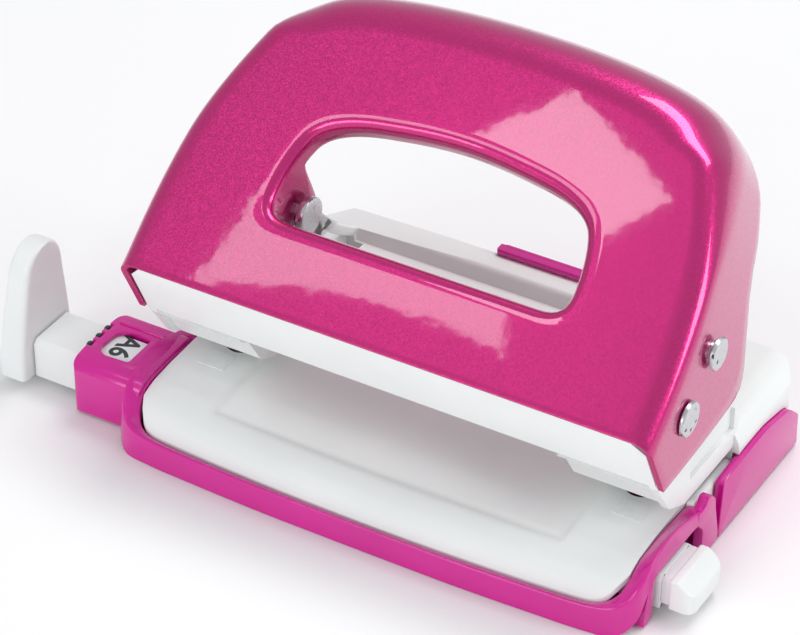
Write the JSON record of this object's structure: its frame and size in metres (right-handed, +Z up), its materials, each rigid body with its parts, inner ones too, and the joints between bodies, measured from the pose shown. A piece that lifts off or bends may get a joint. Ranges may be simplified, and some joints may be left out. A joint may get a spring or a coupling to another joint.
{
  "type": "two-hole desk punch",
  "caption": "Small two-hole desk punch: arched metal handle with a hand opening, white housing and table, hinged chip flap and a sliding paper guide.",
  "frame": {"origin": "on the table top, at the middle of the base between its two sides, 32.6 mm behind the base's front edge", "axes": "+Z up, +X to the right seen from the front, +Y to the rear"},
  "size_m": [0.138, 0.0661, 0.0762],
  "materials": {
    "metallic_paint": "metallic gloss",
    "magenta_plastic": "gloss",
    "white_plastic": "satin",
    "guide_plastic": "satin",
    "format_label": "satin print",
    "rivet_steel": "pressed",
    "punch_steel": "ground",
    "spring_wire": "drawn wire",
    "screw_steel": "plated",
    "foot_rubber": "matte"
  },
  "bodies": {
    "base": {"upper_housing": "white_plastic", "paper_table": "white_plastic", "bottom_frame": "magenta_plastic", "punch_bracket_left": "punch_steel", "punch_bracket_right": "punch_steel", "punch_spring_left": "spring_wire", "punch_spring_right": "spring_wire", "die_plate_left": "punch_steel", "die_plate_right": "punch_steel", "screw_front_left": "screw_steel", "screw_front_right": "screw_steel", "screw_rear_left": "screw_steel", "screw_rear_right": "screw_steel", "foot_front_left": "foot_rubber", "foot_front_right": "foot_rubber"},
    "handle": {"handle_shell": "metallic_paint", "pivot_pin_left": "rivet_steel", "pivot_pin_right": "rivet_steel", "actuator_pin_left": "rivet_steel", "actuator_pin_right": "rivet_steel"},
    "punch_left": {"punch_pin_left": "punch_steel", "punch_head_left": "punch_steel"},
    "punch_right": {"punch_pin_right": "punch_steel", "punch_head_right": "punch_steel"},
    "guide": {"guide_bar": "guide_plastic", "paper_stop": "guide_plastic", "guide_end_cap": "guide_plastic", "format_strip": "format_label"},
    "chip_flap": {"chip_flap": "magenta_plastic", "foot_rear_left": "foot_rubber", "foot_rear_right": "foot_rubber"}
  },
  "joints": [
    {"name": "handle_press", "type": "hinge", "parent": "base", "child": "handle", "pos_m": [0, -0.0132, 0.0351], "axis": [-1, 0, 0], "range_deg": [0, 25], "stiffness_Nm_per_rad": 0.8, "springref_deg": -11.46},
    {"name": "punch_left_slide", "type": "slide", "parent": "base", "child": "punch_left", "axis": [0, 0, -1], "range_m": [0, 0.0048], "deforming": ["punch_spring_left"]},
    {"name": "punch_right_slide", "type": "slide", "parent": "base", "child": "punch_right", "axis": [0, 0, -1], "range_m": [0, 0.0048], "deforming": ["punch_spring_right"]},
    {"name": "guide_slide", "type": "slide", "parent": "base", "child": "guide", "axis": [-1, 0, 0], "range_m": [0, 0.0745]},
    {"name": "chip_flap_hinge", "type": "hinge", "parent": "base", "child": "chip_flap", "pos_m": [0, 0.001, 0.0004], "axis": [-1, 0, 0], "range_deg": [0, 60]}
  ],
  "couplings": [
    {"joint": "punch_left_slide", "follows": "handle_press", "m_per_rad": 0.0108},
    {"joint": "punch_right_slide", "follows": "handle_press", "m_per_rad": 0.0108}
  ]
}
